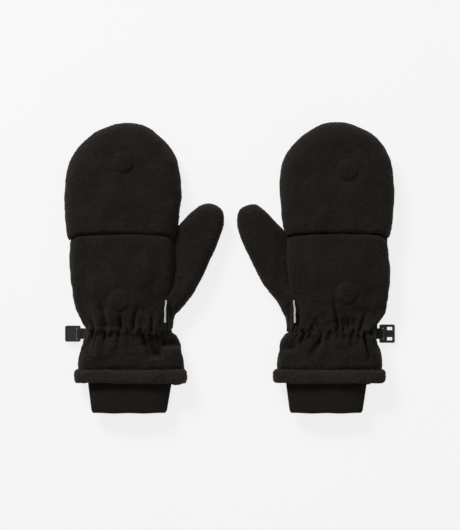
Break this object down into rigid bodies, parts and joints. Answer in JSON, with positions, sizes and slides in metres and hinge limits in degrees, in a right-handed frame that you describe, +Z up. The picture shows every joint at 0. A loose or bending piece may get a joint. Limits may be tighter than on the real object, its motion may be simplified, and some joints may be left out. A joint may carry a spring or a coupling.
{
  "type": "convertible mitten pair",
  "caption": "Pair of fleece mittens whose finger hoods fold back over magnets to bare half-finger stalls, with gathered gauntlet cuffs and a side clip that joins them.",
  "frame": {"origin": "on the surface the pair lies on, midway between the mittens and at the middle of their length", "axes": "+Z up out of the backs of the hands, +Y towards the fingertips, +X from the left mitten to the right one"},
  "size_m": [0.3182, 0.2789, 0.028],
  "materials": {
    "fleece": "deep-pile charcoal fleece",
    "hem_fleece": "brushed fleece edge, a little lighter",
    "lining": "smooth charcoal tricot",
    "rib_knit": "fine 1x1 rib knit, charcoal",
    "knit": "fine jersey knit, charcoal",
    "binding": "narrow knitted binding",
    "elastic": "woven elastic",
    "magnet": "nickel plate",
    "label": "white woven tape, blank",
    "webbing": "black woven webbing",
    "clip_plastic": "moulded dark grey acetal"
  },
  "bodies": {
    "left_hand": {"left_back_panel": "fleece", "left_palm_panel": "fleece", "left_knuckle_fold": "fleece", "left_hand_lining": "lining", "left_wrist_elastic": "elastic", "left_hand_magnet": "magnet", "left_cuff_hem": "hem_fleece", "left_rib_cuff": "rib_knit", "left_thumb_front": "fleece", "left_thumb_back": "fleece", "left_thumb_lining": "lining", "left_finger_yoke": "knit", "left_stall_bindings": "binding", "left_woven_label": "label", "left_clip_strap": "webbing", "left_index_stall": "knit", "left_middle_stall": "knit", "left_ring_stall": "knit", "left_little_stall": "knit"},
    "left_hood": {"left_hood_back": "fleece", "left_hood_palm": "fleece", "left_hood_overlap": "fleece", "left_hood_lining": "lining", "left_hood_magnet": "magnet"},
    "left_clip": {"left_clip": "clip_plastic"},
    "right_hand": {"right_back_panel": "fleece", "right_palm_panel": "fleece", "right_knuckle_fold": "fleece", "right_hand_lining": "lining", "right_wrist_elastic": "elastic", "right_hand_magnet": "magnet", "right_cuff_hem": "hem_fleece", "right_rib_cuff": "rib_knit", "right_thumb_front": "fleece", "right_thumb_back": "fleece", "right_thumb_lining": "lining", "right_finger_yoke": "knit", "right_stall_bindings": "binding", "right_woven_label": "label", "right_clip_strap": "webbing", "right_index_stall": "knit", "right_middle_stall": "knit", "right_ring_stall": "knit", "right_little_stall": "knit"},
    "right_hood": {"right_hood_back": "fleece", "right_hood_palm": "fleece", "right_hood_overlap": "fleece", "right_hood_lining": "lining", "right_hood_magnet": "magnet"},
    "right_clip": {"right_clip": "clip_plastic"}
  },
  "joints": [
    {"name": "left_hood_fold", "type": "hinge", "parent": "left_hand", "child": "left_hood", "pos_m": [-0.1035, 0.0342, 0.0263], "axis": [1, 0, 0], "range_deg": [0, 178], "deforming": ["left_hood_overlap"]},
    {"name": "left_clip_swing", "type": "hinge", "parent": "left_hand", "child": "left_clip", "pos_m": [-0.1455, -0.0638, 0.0025], "axis": [0, 1, 0], "range_deg": [0, 100]},
    {"name": "right_hood_fold", "type": "hinge", "parent": "right_hand", "child": "right_hood", "pos_m": [0.1035, 0.0342, 0.0263], "axis": [1, 0, 0], "range_deg": [0, 178], "deforming": ["right_hood_overlap"]},
    {"name": "right_clip_swing", "type": "hinge", "parent": "right_hand", "child": "right_clip", "pos_m": [0.1455, -0.0638, 0.0025], "axis": [0, -1, 0], "range_deg": [0, 100]},
    {"name": "pair_spread", "type": "slide", "parent": "left_hand", "child": "right_hand", "axis": [1, 0, 0], "range_m": [0, 0.05]}
  ]
}
